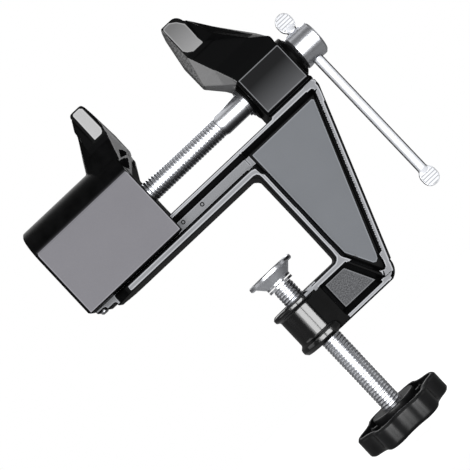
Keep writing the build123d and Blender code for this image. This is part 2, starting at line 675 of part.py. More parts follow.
def clamp_screw():
    """The threaded rod with a ball on top and its lower end in the knob."""
    low_z = KNOB_BOTTOM_Z + SCREW_END_RISE
    thread = rod_z(THREAD_R, low_z, SCREW_TOP_Z)
    thread = chamfer(thread.edges().group_by(Axis.Z)[-1], THREAD_CHAMFER)
    arc = ThreePointArc((0, BALL_Z + BALL_R), (BALL_R, BALL_Z), (0, BALL_Z - BALL_R))
    ball = revolve(side_face(chords(arc, BALL_COUNT)), Axis.Z)
    return thread + rod_z(NECK_R, SCREW_TOP_Z, BALL_Z) + ball


def pad_ring():
    """The loose ring on the screw's neck under the pad."""
    low_z = PAD_RING_TOP_Z - PAD_RING_HEIGHT
    return rod_z(PAD_RING_R, low_z, PAD_RING_TOP_Z) - rod_z(
        NECK_R + SCREW_CLEARANCE, low_z, PAD_RING_TOP_Z)


def swivel_pad():
    """The round pad that turns and tilts on the ball in its socket."""
    rim_z = PAD_TOP_Z - PAD_RIM
    skirt_z = rim_z - PAD_SKIRT_HEIGHT
    socket_r = BALL_R + BALL_CLEARANCE
    outline = [
        (0, PAD_TOP_Z), (PAD_R - PAD_RIM_BEVEL, PAD_TOP_Z), (PAD_R, PAD_TOP_Z - PAD_RIM_BEVEL),
        (PAD_R, rim_z + PAD_RIM_BEVEL), (PAD_R - PAD_RIM_BEVEL, rim_z),
        (PAD_SKIRT_TOP_R, rim_z), (PAD_SKIRT_FOOT_R, skirt_z), (PAD_SKIRT_FOOT_R, PAD_FOOT_Z),
        (MOUTH_R, PAD_FOOT_Z), (socket_r, BALL_Z - SOCKET_REACH),
        (socket_r, BALL_Z + socket_r), (0, BALL_Z + socket_r),
    ]
    return revolve(side_face(outline), Axis.Z)


# Knob

def star_face(shrink=0.0):
    """The knob's lobed outline, drawn inwards by a distance."""
    lobe_c = KNOB_R - KNOB_LOBE_R
    half_step = pi / KNOB_LOBES
    drop = KNOB_LOBE_R - KNOB_VALLEY_R
    valley_c = (lobe_c ** 2 - drop ** 2) / (2 * (drop + lobe_c * cos(half_step)))
    lobe_r = KNOB_LOBE_R - shrink
    valley_r = valley_c - KNOB_VALLEY_R + shrink
    edges = []
    for index in range(KNOB_LOBES):
        angle = 2 * half_step * index
        lobe = Vector(lobe_c * cos(angle), lobe_c * sin(angle))
        before, after = [Vector(valley_c * cos(angle + side * half_step),
                                valley_c * sin(angle + side * half_step)) for side in (-1, 1)]
        following = Vector(lobe_c * cos(angle + 2 * half_step),
                           lobe_c * sin(angle + 2 * half_step))
        start = lobe + (before - lobe).normalized() * lobe_r
        end = lobe + (after - lobe).normalized() * lobe_r
        tip = lobe + lobe.normalized() * lobe_r
        bottom = after - after.normalized() * valley_r
        next_start = following + (after - following).normalized() * lobe_r
        edges.append(ThreePointArc(start, tip, end))
        edges.append(ThreePointArc(end, bottom, next_start))
    return make_face(edges)


def hexagon_z(flats, start_z, end_z):
    """A hexagonal bar along Z."""
    return Pos(0, 0, start_z) * extrude(RegularPolygon(flats / sqrt(3), 6), end_z - start_z)


def clamp_knob():
    """The lobed knob, hollow from above round its hub."""
    star = Pos(0, 0, KNOB_BOTTOM_Z) * extrude(star_face(), KNOB_HEIGHT)
    rims = star.edges().group_by(Axis.Z)
    star = chamfer(rims[0] + rims[-1], KNOB_EDGE_BEVEL)
    floor_z = KNOB_BOTTOM_Z + KNOB_FLOOR
    star -= Pos(0, 0, floor_z) * extrude(star_face(KNOB_WALL), KNOB_HEIGHT)
    star += rod_z(HUB_R, floor_z, HUB_TOP_Z)
    rib_height = KNOB_HEIGHT - KNOB_FLOOR - KNOB_RIB_DROP
    rib_start = HUB_R - KNOB_WALL
    rib_length = KNOB_VALLEY_R - KNOB_WALL / 2 - rib_start
    for index in range(KNOB_LOBES):
        rib = Pos(rib_start + rib_length / 2, 0, floor_z + rib_height / 2) * Box(
            rib_length, KNOB_RIB_WIDTH, rib_height)
        star += Rot(0, 0, (index + 0.5) * 360 / KNOB_LOBES) * rib
    star -= rod_z(THREAD_R, KNOB_BOTTOM_Z + SCREW_END_RISE, HUB_TOP_Z)
    insert_top = HUB_TOP_Z - INSERT_DROP
    return star - hexagon_z(INSERT_FLATS, insert_top - INSERT_THICKNESS, insert_top)


def knob_insert():
    """The nut moulded into the knob's hub."""
    top_z = HUB_TOP_Z - INSERT_DROP
    low_z = top_z - INSERT_THICKNESS
    return hexagon_z(INSERT_FLATS, low_z, top_z) - rod_z(THREAD_R, low_z, top_z)


PIECES = {
    "clamp_frame": clamp_frame,
    "rail_stop_screw": rail_stop_screw,
    "moving_jaw": moving_jaw,
    "spindle_nut": spindle_nut,
    "spindle": spindle,
    "spindle_head": spindle_head,
    "clip_washer": clip_washer,
    "retaining_clip": retaining_clip,
    "tommy_bar": tommy_bar,
    "clamp_screw": clamp_screw,
    "pad_ring": pad_ring,
    "swivel_pad": swivel_pad,
    "clamp_knob": clamp_knob,
    "knob_insert": knob_insert,
}

for name, make in PIECES.items():
    export_step(make(), f"parts/{name}.step")
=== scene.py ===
import math

import bmesh
import bpy
from mathutils import Matrix, Vector, kdtree


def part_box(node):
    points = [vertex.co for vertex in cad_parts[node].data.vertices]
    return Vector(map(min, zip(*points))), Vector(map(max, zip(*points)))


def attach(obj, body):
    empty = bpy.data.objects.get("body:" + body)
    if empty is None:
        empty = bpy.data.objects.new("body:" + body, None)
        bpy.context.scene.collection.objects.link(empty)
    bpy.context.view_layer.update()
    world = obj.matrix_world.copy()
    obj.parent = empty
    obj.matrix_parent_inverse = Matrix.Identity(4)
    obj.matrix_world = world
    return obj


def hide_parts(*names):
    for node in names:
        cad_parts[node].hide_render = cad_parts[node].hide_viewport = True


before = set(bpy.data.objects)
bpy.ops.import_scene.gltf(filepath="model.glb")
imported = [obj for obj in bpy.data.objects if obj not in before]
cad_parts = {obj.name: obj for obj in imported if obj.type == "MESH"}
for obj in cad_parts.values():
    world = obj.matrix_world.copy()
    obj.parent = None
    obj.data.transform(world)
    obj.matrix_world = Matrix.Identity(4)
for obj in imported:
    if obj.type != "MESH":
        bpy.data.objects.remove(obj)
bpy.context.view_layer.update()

MM = 0.001
SCENE = bpy.context.scene

# Camera, in millimetres and degrees
EYE = (1.66, -363.5, -33.0)
LOOK_UP_DEG = 1.30
LOOK_LEFT_DEG = 0.147
ROLL_DEG = 43.28
FOCAL_PX = 1019.5
PICTURE_PX = 470
SHIFT_PX = 30.0
SENSOR_MM = 36.0
CLIP_M = (0.01, 20.0)

# Screw threads, their profile as (share of the pitch, share of the depth)
PITCH = 1.25
THREAD_R = 4.0
THREAD_DEPTH = 0.34
THREAD_PROFILE = ((0.0, 1.0), (0.28, 0.98), (0.42, 0.45), (0.5, 0.0), (0.58, 0.45), (0.72, 0.98))
RUNOUT_TURNS = 0.9
SPINDLE_Z = 22.4
SHANK_R = 4.32
GROOVE_DEPTH = 0.8
THREAD_END_X = 23.1
SHANK_CHAMFER = 0.3

# Shoulder from the thread's root to the shank, as (way past the thread's end, radius)
SHANK_SHOULDER = ((-0.9, THREAD_R - THREAD_DEPTH), (-0.2, THREAD_R - 0.05),
                  (0.35, SHANK_R - 0.15), (0.9, SHANK_R))

# Ball of the clamp screw
BALL_R = 2.8
BALL_STEPS = 14
NECK_STEPS = 40
NECK_R = 1.9
NECK_SUNK = 1.0
RING_GAP = 0.1

# Dark lines painted across the paddles of the bar and along their rims, the shade of pressed
# grooves, each (full, faded out)
PADDLE_RIDGE = 1.15
PADDLE_FACE_Y = 1.4
PADDLE_LINE = (0.12, 0.22)
PADDLE_RIM = (0.12, 0.3)

# Copies of CAD solids with rounded edges, each (voxel size, rounds of smoothing)
CASTING_COPY = (0.28, 4)
KNOB_COPY = (0.25, 5)
BAR_COPY = (0.2, 3)
SMOOTH_FACTOR = 0.5
MERGE_DIST = 0.004
SHARP_DEG = 38.0

# How squarely a face is turned, as a part of its normal
FLAT_FACING = 0.985
SIDE_FACING = 0.9
GRIP_FACING = 0.9
PLATE_FACING = 0.85
LIP_FACING = 0.75
TOWARDS_JAW = 0.1
CHEEK_DOWN = -0.15
CHEEK_BACKWARD = -0.2
PAD_CONE_DOWN = -0.3
POCKET_WALL_FACING = 0.2

# Beam and jaws
BEAM_FLANK_Y = 9.0
GROOVE_FLOOR_Y = 5.0
BOSS_FLANK_Y = 13.0
GROOVE_DROP = BEAM_FLANK_Y - GROOVE_FLOOR_Y
LEVEL_ROOM = 0.6
FACE_ROOM = 0.5
EDGE_SLACK = 0.3
FLANK_SLACK = 0.2
TIP_LOW_Z = 45.0
THROAT_RIM_X = 22.2
ARM_RIB_X = 26.5
ARM_TOP_Z = -40.8
ARM_BLACK_X = 9.9
CLAMP_BOSS_X = 9.5
CLAMP_BOSS_ROOM = 0.5
CLAMP_PLATE_X = 2.4
LIP_HEIGHT = 1.8
ARM_BLACK_DROP = 2.5
RECESS_DROP = 3.0
SHOULDER_TOP_Z = 27.3
SHOULDER_ROOM = 0.4
MOVING_FACE_LOW_Z = 30.0
GRIP_EDGE = ((37.0, 28.6), (41.0, 29.6), (48.0, 31.0))
FIXED_EDGE = ((27.3, 37.1), (31.0, 36.2), (36.5, 34.4), (47.0, 30.7))
MOVING_EDGE = ((29.4, -12.0), (36.5, -10.9), (47.0, -7.9), (50.0, -6.9))
POCKET_TOP_Z = 41.0
POCKET_HALF_WIDTH = 5.4
POCKET_FACE_X = -8.0

# Outlines (x, z) of grey areas, where sheen is painted
FIXED_PATCH = ((31.1, 49.3), (31.1, 59.2), (31.6, 59.8), (34.2, 59.9), (36.4, 58.4),
               (38.7, 55.2), (39.2, 46.8), (34.0, 46.7), (32.0, 48.0))
MOVING_PATCH = ((-12.6, 47.9), (-12.5, 59.2), (-12.1, 59.7), (-9.2, 59.7), (-8.4, 58.9),
                (-8.2, 49.6), (-8.7, 48.4), (-9.4, 47.9))
WEB_PATCH = ((23.9, -40.6), (23.9, 6.4), (52.7, 6.5), (53.3, 5.8), (32.0, -48.6),
             (31.2, -50.2), (30.0, -50.9), (29.0, -50.3))
PATCH_LOW_Z = 43.0
LOWER_RIM = ((-60.0, 0.5), (19.0, 0.45), (20.2, 0.1), (20.9, -0.8), (21.05, -2.0), (21.05, -40.9),
             (22.25, -40.9), (22.25, -1.2), (21.95, 0.6), (21.1, 1.8), (19.8, 2.25), (-60.0, 2.25))
RIB_LINE = ((-57.0, 29.5), (-42.0, 22.6))
SIDE_POCKETS = (
    ((-10.2, 36.9), (-9.5, 38.3), (-8.9, 39.6), (-8.3, 39.5), (-7.6, 38.3), (-7.35, 36.9)),
    ((-11.2, 36.2), (-8.7, 36.1), (-8.6, 35.3), (-9.6, 33.4), (-10.6, 31.8), (-11.6, 33.6),
     (-11.5, 35.2)),
)
SIDE_POCKETS_BOX = ((-12.0, -6.5), (31.0, 40.5))
SIDE_POCKET_DEPTH = 0.8
SIDE_POCKET_EASE = 0.4
CHEEK_LOW_Z = 28.6
CHEEK_BACK_X = -12.3

# Light corners of the frame's plates (x, z)
PLATE_CORNERS = (
    ((26.4, -57.9), (29.7, -57.8), (30.9, -57.1), (31.6, -56.4), (32.3, -55.3), (34.5, -49.2),
     (32.2, -49.2), (31.7, -52.4), (31.0, -53.9), (30.0, -54.4), (29.0, -54.1), (28.2, -53.6),
     (28.5, -54.6), (28.2, -55.6), (27.5, -56.3), (26.4, -56.3)),
    ((7.5, -41.6), (18.8, -41.5), (20.0, -40.9), (20.8, -40.0), (21.05, -37.5), (22.0, -37.5),
     (21.8, -40.0), (22.4, -41.5), (23.3, -43.1), (23.9, -44.3), (22.9, -44.0), (21.8, -43.2),
     (7.5, -43.2)),
    ((52.5, 8.8), (54.4, 8.8), (55.0, 8.2), (55.1, 7.4), (54.7, 5.8), (53.5, 2.6), (55.2, 2.6),
     (56.3, 5.6), (56.95, 7.8), (56.95, 11.4), (52.5, 11.4)),
)
LOW_CORNERS_Z = (-59.0, -37.0)
HEEL_CORNER = (52.0, 2.0)
CORNER_REACH = 0.15
ARM_STRIP_TOP_Z = -41.5
TOE_CENTRE = (27.6, -53.2)
TOE_R = 6.2
TOE_REACH = 2.5
TOE_LIGHT_R = 5.5

# The right end of the beam's groove, its outline and the boxes (x, z) of what is near it
STRIP_END = ((17.0, 3.1), (23.0, 3.1), (23.0, 7.2), (17.0, 7.2))
STRIP_END_REACH = 0.1
STRIP_END_BOX = ((19.0, 23.2), (2.9, 7.4))
STRIP_LIGHT_BOX = ((17.0, 23.4), (2.0, 8.0))

# The frame's upper outer corner, its outline (z, x) in the solid and the one that the photo shows
HEEL_X = (54.6, 58.5)
HEEL_EASE = 1.0
HEEL_ROOM = 0.4
HEEL_WAS = ((9.8, 57.7), (10.5, 57.2), (10.95, 56.1), (11.7, 56.1), (12.3, 56.8), (13.4, 56.8))
HEEL_IS = ((9.8, 57.7), (12.2, 57.5), (13.4, 56.8))

# Limits of the light rims
SLANT_OUTSIDE = ((-59.0, 32.1), (8.2, 57.8))
SLANT_TOP_Z = SLANT_OUTSIDE[1][0]
SLANT_RISE = 0.934
SLANT_LIGHT = (0.9, 2.65)
SLANT_WIDEN = 1.4
SLANT_EASE = 0.5
SLANT_REACH = 4.0
SLANT_WALL_FOOT = 0.4
SLANT_WALL_TOP_Z = SLANT_TOP_Z - 1.0
BOTTOM_RIM_LOW_Z = -58.35
RIB_TOP_Z = -43.6
RIB_BOTTOM_Z = -56.6
COLLAR_X = 37.7
COLLAR_LOW_Z = 11.2
LIP_STRIP_X = 3.5
THROAT_SHIFT = ((-39.0, 0.0), (-20.0, 0.5), (-2.0, 0.8), (-0.5, 0.0))
THROAT_WALL = (19.0, 22.2, 24.6)

# How far past a rim's own limits it still decides how light a point is
SLANT_TOP_ROOM = 1.0
SLANT_INNER_ROOM = 0.8
COLLAR_ROOM = 0.5
LOWER_RIM_END_Z = 4.0
LOWER_RIM_ROOM = 2.0
ARM_TOP_ROOM = 1.0

# Floor, below the knob at the lowest point of its travel
FLOOR_Z = -107.6
FLOOR_FRONT_Y = -60.0
FLOOR_HALF = 350.0

# Rings painted in the beam's groove
RINGS = ((-0.7, 5.9), (-9.9, 5.9))
RING_R = 0.62
RING_HALF_WIDTH = 0.2
RING_BLUR = (0.7, 1.3)

# Backs of the jaws, as lines (z, x), and how far the casting swells behind them
FIXED_BACK = ((31.0, 56.8), (36.5, 54.5), (47.0, 46.9), (57.4, 40.5))
FIXED_SWELL = ((28.5, 0.0), (31.5, 1.0), (47.0, 1.1), (57.0, 0.1), (59.0, 0.0))
MOVING_BACK = ((40.0, -15.5), (60.0, -13.2))
MOVING_SWELL = ((40.0, 0.0), (46.0, 0.7), (58.0, 0.7), (60.0, 0.5))
FIXED_OUTWARD = (0.83, 0.56)
MOVING_OUTWARD = (-1.0, 0.0)
SWELL_DEPTH = 6.0
SWELL_REACH = 2.0

# Width of the outlines, which lie outside the light areas of the tips and of the rims
EDGE_ROOM = 0.1
RIM_OUTLINE = 0.2

# Where the slanted rim opens into the bottom one, and a room that stands for no edge near
BOTTOM_TURN_Z = -55.0
FAR = 50.0

# Paint and plastic: greys, roughness, and noise in cells per metre
PAINT_GREYS = (0.0012, 0.0028)
KNOB_GREYS = (0.004, 0.008)
OUTLINE_GREY = 0.003
FLAT_SPECULAR = 0.02
OUTLINE_ROUGH, FLAT_ROUGH = 0.35, 0.55
KNOB_ROUGH = (0.26, 0.32)
KNOB_SPECULAR = 0.24
OUTLINE_BLUR = 0.08
PAINT_WAVE, PAINT_PEEL = 260.0, 2600.0
FLAT_CLOUD, FLAT_GRAIN = 60.0, 3200.0
STEEL_CLOUD, STEEL_MARKS = 120.0, 900.0
KNOB_WAVE, KNOB_GRAIN = 200.0, 1500.0
RAMP_ENDS = (0.3, 0.7)
WAVE_DETAIL, FINE_DETAIL, MARK_DETAIL = 4.0, 3.0, 5.0

# Relief, as (distance in millimetres, strength), or its strength alone
PAINT_RELIEF = (0.012, 0.4)
KNOB_RELIEF = (0.01, 0.3)
FLAT_BUMP = 0.5
STEEL_BUMP = 0.1

# Steel: greys against the plain colour, with painted shade for the paddles' pressed lines and the
# bar's turned-away edges, and how the marks are drawn
STEEL_SPREAD = (0.94, 1.04)
STEEL_ROUGH_SPREAD = (-0.03, 0.04)
RIDGE_SHADE = 0.42
EDGE_SHADE = 0.04
EDGE_TURN = (0.22, 0.5)
MARK_STRETCH = 0.06

# Lights: name, place, aim, width, height and watts
LIGHT_AIM = (5, 0, -10)
LIGHTS = (
    ("front_left", (-260, -800, -40), (-260, 0, -40), 340, 700, 5.6),
    ("front_right", (160, -800, -40), (160, 0, -40), 370, 700, 6.3),
    ("front_far_left", (-500, -780, -40), (-200, 0, -40), 140, 700, 0.8),
    ("key", (-450, -620, 450), LIGHT_AIM, 400, 400, 0.6),
    ("top", (-100, -100, 800), LIGHT_AIM, 600, 600, 0.8),
    ("right", (750, -100, 200), LIGHT_AIM, 500, 600, 0.7),
    ("left", (-750, -100, 250), LIGHT_AIM, 500, 600, 0.7),
    ("back", (60, 900, 850), LIGHT_AIM, 1200, 1000, 9.5),
)
WORLD_LIGHT = 0.12
FLOOR_LIT_GREY = 0.3
FLOOR_SHADE_GREY = 0.35
FLOOR_GLOW = 0.93


# Materials

COOL = (0.98, 1.0, 1.05)
NEUTRAL = (1.0, 1.0, 1.01)


def new_material(name):
    """A node material with its principled shader."""
    mat = bpy.data.materials.new(name)
    mat.use_nodes = True
    tree = mat.node_tree
    return mat, tree, tree.nodes["Principled BSDF"]


def node(tree, kind, **inputs):
    """A shader node with its inputs set by name."""
    made = tree.nodes.new(kind)
    for key, value in inputs.items():
        made.inputs[key.replace("_", " ")].default_value = value
    return made


def object_noise(tree, scale, detail=WAVE_DETAIL, stretch=(1.0, 1.0, 1.0)):
    """Noise fixed to the object, with a scale in cells per metre."""
    coords = tree.nodes.new("ShaderNodeTexCoord")
    mapping = tree.nodes.new("ShaderNodeMapping")
    mapping.inputs["Scale"].default_value = stretch
    noise = node(tree, "ShaderNodeTexNoise", Scale=scale, Detail=detail)
    tree.links.new(coords.outputs["Object"], mapping.inputs["Vector"])
    tree.links.new(mapping.outputs["Vector"], noise.inputs["Vector"])
    return noise.outputs["Fac"]


def ramp(tree, factor, low, high):
    """A colour between two others, as noise goes from low to high."""
    made = tree.nodes.new("ShaderNodeValToRGB")
    for element, place, colour in zip(made.color_ramp.elements, RAMP_ENDS, (low, high)):
        element.position = place
        element.color = (*colour, 1.0)
    tree.links.new(factor, made.inputs["Fac"])
    return made.outputs["Color"]


def spread(tree, factor, low, high, start=0.0, end=1.0):
    """A number between low and high, as a factor goes from start to end."""
    made = tree.nodes.new("ShaderNodeMapRange")
    made.inputs["From Min"].default_value = start
    made.inputs["From Max"].default_value = end
    made.inputs["To Min"].default_value = low
    made.inputs["To Max"].default_value = high
    tree.links.new(factor, made.inputs["Value"])
    return made.outputs["Result"]


def calc(tree, operation, *values):
    """A number worked out from others, each a socket or a plain number."""
    made = tree.nodes.new("ShaderNodeMath")
    made.operation = operation
    for socket, value in zip(made.inputs, values):
        if isinstance(value, float):
            socket.default_value = value
        else:
            tree.links.new(value, socket)
    return made.outputs["Value"]


def object_axis(tree, output, axis):
    """One axis of the place or the normal in the object's own frame."""
    coords = tree.nodes.new("ShaderNodeTexCoord")
    parts = tree.nodes.new("ShaderNodeSeparateXYZ")
    tree.links.new(coords.outputs[output], parts.inputs["Vector"])
    return parts.outputs[axis]


def bump(tree, shader, height, distance, strength):
    """Relief from a height, with its distance in millimetres."""
    made = node(tree, "ShaderNodeBump", Strength=strength, Distance=distance * MM)
    tree.links.new(height, made.inputs["Height"])
    tree.links.new(made.outputs["Normal"], shader.inputs["Normal"])


def grey(value, tint=COOL):
    """A neutral colour with the slightest blue, or another tint."""
    return tuple(value * part for part in tint)


def black_paint(name, specular, low_rough, high_rough):
    """Black paint over a die casting, with a faint orange peel."""
    mat, tree, shader = new_material(name)
    wave = object_noise(tree, PAINT_WAVE)
    fine = object_noise(tree, PAINT_PEEL, FINE_DETAIL)
    tree.links.new(ramp(tree, wave, *map(grey, PAINT_GREYS)), shader.inputs["Base Color"])
    tree.links.new(spread(tree, wave, low_rough, high_rough), shader.inputs["Roughness"])
    shader.inputs["Specular IOR Level"].default_value = specular
    bump(tree, shader, fine, *PAINT_RELIEF)
    return mat


def facing(tree, start, end):
    """1 where the surface faces along Y and 0 where it has turned away, or the reverse."""
    size = calc(tree, "ABSOLUTE", object_axis(tree, "Normal", "Y"))
    return spread(tree, size, 0.0, 1.0, start, end)


def mixed_colour(tree, factor, low, high):
    """A colour between two others, each a socket or a plain colour."""
    made = tree.nodes.new("ShaderNodeMix")
    made.data_type = "RGBA"
    tree.links.new(factor, made.inputs["Factor"])
    for socket, value in ((made.inputs[6], low), (made.inputs[7], high)):
        if isinstance(value, tuple):
            socket.default_value = (*value, 1.0)
        else:
            tree.links.new(value, socket)
    return made.outputs[2]


def stored(tree, name):
    """A number kept on the mesh."""
    made = tree.nodes.new("ShaderNodeAttribute")
    made.attribute_name = name
    return made.outputs["Fac"]


def painted_sheen_flat(name, value, highlight_grey=None, outline=None, grain=0.015, mottle=0.05, fine_share=0.5,
              start=0.972, end=0.992, top_shade=None, rings=False, tint=COOL,
              grain_scale=FLAT_GRAIN, highlight_width=0.45):
    """Grey painted on a flat where it faces along Y: a painted sheen of the black paint, with a
    fine cast grain, in a black outline and a painted highlight line along its edge.
    """
    mat, tree, shader = new_material(name)
    cloud = object_noise(tree, FLAT_CLOUD)
    fine = object_noise(tree, grain_scale, FINE_DETAIL)
    blend = tree.nodes.new("ShaderNodeMix")
    blend.data_type = "FLOAT"
    blend.inputs["Factor"].default_value = fine_share
    tree.links.new(cloud, blend.inputs["A"])
    tree.links.new(fine, blend.inputs["B"])
    flat = ramp(tree, blend.outputs["Result"],
                grey(value * (1 - mottle), tint), grey(value * (1 + mottle), tint))
    # Painted shade: the grey goes over to a darker one from low_z up to high_z, darker towards the
    # top.
    if top_shade:
        flat = mixed_colour(tree, height_share(tree, *top_shade[:2]), grey(top_shade[2], tint), flat)
    mask = facing(tree, start, end)
    if outline is not None:
        # Painted highlight: a paler line just inside the black outline, along the flat's edge.
        inset = stored(tree, "inset")
        line = spread(tree, inset, 1.0, 0.0, outline + highlight_width / 2, outline + highlight_width)
        flat = mixed_colour(tree, line, flat, grey(highlight_grey, tint))
        inside = spread(tree, inset, 0.0, 1.0, outline - OUTLINE_BLUR, outline + OUTLINE_BLUR)
        mask = calc(tree, "MULTIPLY", mask, inside)
    if rings:
        for place in RINGS:
            mask = calc(tree, "MULTIPLY", mask, off_ring(tree, place))
    tree.links.new(mixed_colour(tree, mask, grey(OUTLINE_GREY), flat), shader.inputs["Base Color"])
    tree.links.new(spread(tree, mask, OUTLINE_ROUGH, FLAT_ROUGH), shader.inputs["Roughness"])
    shader.inputs["Specular IOR Level"].default_value = FLAT_SPECULAR
    bump(tree, shader, fine, grain, FLAT_BUMP)
    return mat


def off_ring(tree, place):
    """0 on a small ring round a point (x, z) and 1 elsewhere."""
    coords = tree.nodes.new("ShaderNodeTexCoord")
    flatten = tree.nodes.new("ShaderNodeVectorMath")
    flatten.operation = "MULTIPLY"
    flatten.inputs[1].default_value = (1.0, 0.0, 1.0)
    away = tree.nodes.new("ShaderNodeVectorMath")
    away.operation = "DISTANCE"
    away.inputs[1].default_value = (place[0] * MM, 0.0, place[1] * MM)
    tree.links.new(coords.outputs["Object"], flatten.inputs[0])
    tree.links.new(flatten.outputs["Vector"], away.inputs[0])
    gap = calc(tree, "ABSOLUTE", calc(tree, "SUBTRACT", away.outputs["Value"], RING_R * MM))
    width = RING_HALF_WIDTH * MM
    return spread(tree, gap, 0.0, 1.0, *(width * share for share in RING_BLUR))


def height_share(tree, low_z, high_z):
    """1 below low_z and 0 above high_z, in millimetres."""
    return spread(tree, object_axis(tree, "Object", "Z"), 1.0, 0.0, low_z * MM, high_z * MM)


def steel(name, value, roughness, direction="y", streak=STEEL_MARKS, relief=0.002, groove_shade=False,
          metallic=1.0, edges=False):
    """Bright plated steel with fine turning or drawing marks along a direction, and, where asked,
    painted shade in the paddles' pressed lines and at edges turned away from the view.
    """
    mat, tree, shader = new_material(name)
    stretch = tuple(MARK_STRETCH if axis == direction else 1.0 for axis in "xyz")
    marks = object_noise(tree, streak, MARK_DETAIL, stretch)
    cloud = object_noise(tree, STEEL_CLOUD)
    colour = ramp(tree, cloud, *(grey(value * share) for share in STEEL_SPREAD))
    # Painted shade in the pressed lines of the paddles.
    if groove_shade:
        colour = mixed_colour(tree, paddle_lines(tree), colour, grey(value * RIDGE_SHADE))
    # Painted shade: the colour darkens where the surface turns away from the view, towards its
    # outline.
    if edges:
        turned = node(tree, "ShaderNodeLayerWeight", Blend=0.5).outputs["Facing"]
        rim = spread(tree, turned, 0.0, 1.0, *EDGE_TURN)
        colour = mixed_colour(tree, rim, colour, grey(value * EDGE_SHADE))
    tree.links.new(colour, shader.inputs["Base Color"])
    shader.inputs["Metallic"].default_value = metallic
    rough = spread(tree, marks, *(roughness + change for change in STEEL_ROUGH_SPREAD))
    tree.links.new(rough, shader.inputs["Roughness"])
    bump(tree, shader, marks, relief, STEEL_BUMP)
    return mat


def paddle_lines(tree):
    """1 in the lines across a paddle and along its rim, where groove shade is painted, 0 between
    them.
    """
    steps = calc(tree, "PINGPONG", object_axis(tree, "Object", "Z"), PADDLE_RIDGE / 2 * MM)
    rim = spread(tree, stored(tree, "inset"), 1.0, 0.0, *PADDLE_RIM)
    line = spread(tree, steps, 1.0, 0.0, *(width * MM for width in PADDLE_LINE))
    return calc(tree, "MAXIMUM", rim, line)


def knob_plastic():
    """Glossy black moulded plastic."""
    mat, tree, shader = new_material("knob_plastic")
    wave = object_noise(tree, KNOB_WAVE)
    fine = object_noise(tree, KNOB_GRAIN, FINE_DETAIL)
    tree.links.new(ramp(tree, wave, *map(grey, KNOB_GREYS)), shader.inputs["Base Color"])
    tree.links.new(spread(tree, wave, *KNOB_ROUGH), shader.inputs["Roughness"])
    shader.inputs["Specular IOR Level"].default_value = KNOB_SPECULAR
    bump(tree, shader, fine, *KNOB_RELIEF)
    return mat


BLACK = black_paint("black_paint", specular=0.02, low_rough=0.33, high_rough=0.37)
GLOSS_BLACK = black_paint("gloss_black", specular=1.0, low_rough=0.12, high_rough=0.17)
# The casting greys that follow are painted sheen: the light that flats of the black paint show,
# each set at a level of its own for its area.
PANEL_GREY = painted_sheen_flat("panel_grey", 0.142, highlight_grey=0.2, outline=0.05, tint=(1.0, 0.985, 1.07))
WEB_GREY = painted_sheen_flat("web_grey", 0.132, highlight_grey=0.2, outline=0.05, tint=(0.955, 1.0, 1.08))
STRIP_GREY = painted_sheen_flat("strip_grey", 0.185, highlight_grey=0.25, outline=0.1, mottle=0.15, fine_share=0.9,
                       rings=True)
# The rims take a paler grey, a painted highlight along their flat strips.
RIM_GREY = painted_sheen_flat("rim_grey", 0.2, highlight_grey=0.34, outline=0.2, mottle=0.1, start=0.93, end=0.985,
                     highlight_width=0.5)
LEFT_TIP_GREY = painted_sheen_flat("left_tip_grey", 0.31, highlight_grey=0.36, outline=0.1, tint=NEUTRAL)
# The right tip's grey and the boss's grey carry painted shade, darker towards the top.
RIGHT_TIP_GREY = painted_sheen_flat("right_tip_grey", 0.213, highlight_grey=0.22, outline=0.1,
                           top_shade=(46.0, 58.0, 0.112), tint=NEUTRAL)
BOSS_GREY = painted_sheen_flat("boss_grey", 0.062, highlight_grey=0.15, outline=0.1, top_shade=(13.0, 23.0, 0.009))
GRAINED_GREY = painted_sheen_flat("grained_grey", 0.08, highlight_grey=0.15, outline=0.1, grain=0.12, mottle=0.7,
                         fine_share=0.95, grain_scale=2400.0)
JAW_FACE_GREY = painted_sheen_flat("jaw_face_grey", 0.16, grain=0.05, mottle=0.12, start=0.88, end=0.8,
                          tint=NEUTRAL)
GRIP_GREY = painted_sheen_flat("grip_grey", 0.085, grain=0.12, mottle=0.7, fine_share=0.9,
                      start=0.95, end=0.9, tint=NEUTRAL, grain_scale=1600.0)
# Painted sheen on faces turned down under the moving jaw's front.
CHEEK_GREY = painted_sheen_flat("cheek_grey", 0.2, start=0.0, end=0.01, tint=NEUTRAL)
# Painted highlight on the upper lip of the clamp boss.
LIP_HIGHLIGHT = painted_sheen_flat("lip_highlight", 0.24, start=0.72, end=0.82)
THREAD_STEEL = steel("thread_steel", 0.72, 0.3)
TURNED_STEEL = steel("turned_steel", 0.72, 0.3)
BAR_STEEL = steel("bar_steel", 0.85, 0.35, "z", metallic=0.5, edges=True)
PADDLE_STEEL = steel("paddle_steel", 0.56, 0.5, "z", metallic=0.0, groove_shade=True)
PAD_STEEL = steel("pad_steel", 0.75, 0.55, streak=2600.0, relief=0.02)
CLIP_STEEL = steel("clip_steel", 0.35, 0.3)
KNOB_BLACK = knob_plastic()
CASTING_MATERIALS = [BLACK, GLOSS_BLACK, PANEL_GREY, WEB_GREY, STRIP_GREY, RIM_GREY,
                     LEFT_TIP_GREY, RIGHT_TIP_GREY, BOSS_GREY, GRAINED_GREY, JAW_FACE_GREY,
                     GRIP_GREY, CHEEK_GREY, LIP_HIGHLIGHT]


# Meshes

def add_mesh(name, verts, faces, mat, smooth=True):
    """An object from vertices in millimetres."""
    mesh = bpy.data.meshes.new(name)
    mesh.from_pydata([tuple(c * MM for c in v) for v in verts], [], faces)
    mesh.validate()
    obj = bpy.data.objects.new(name, mesh)
    SCENE.collection.objects.link(obj)
    mesh.materials.append(mat)
    mesh.polygons.foreach_set("use_smooth", [smooth] * len(mesh.polygons))
    return obj


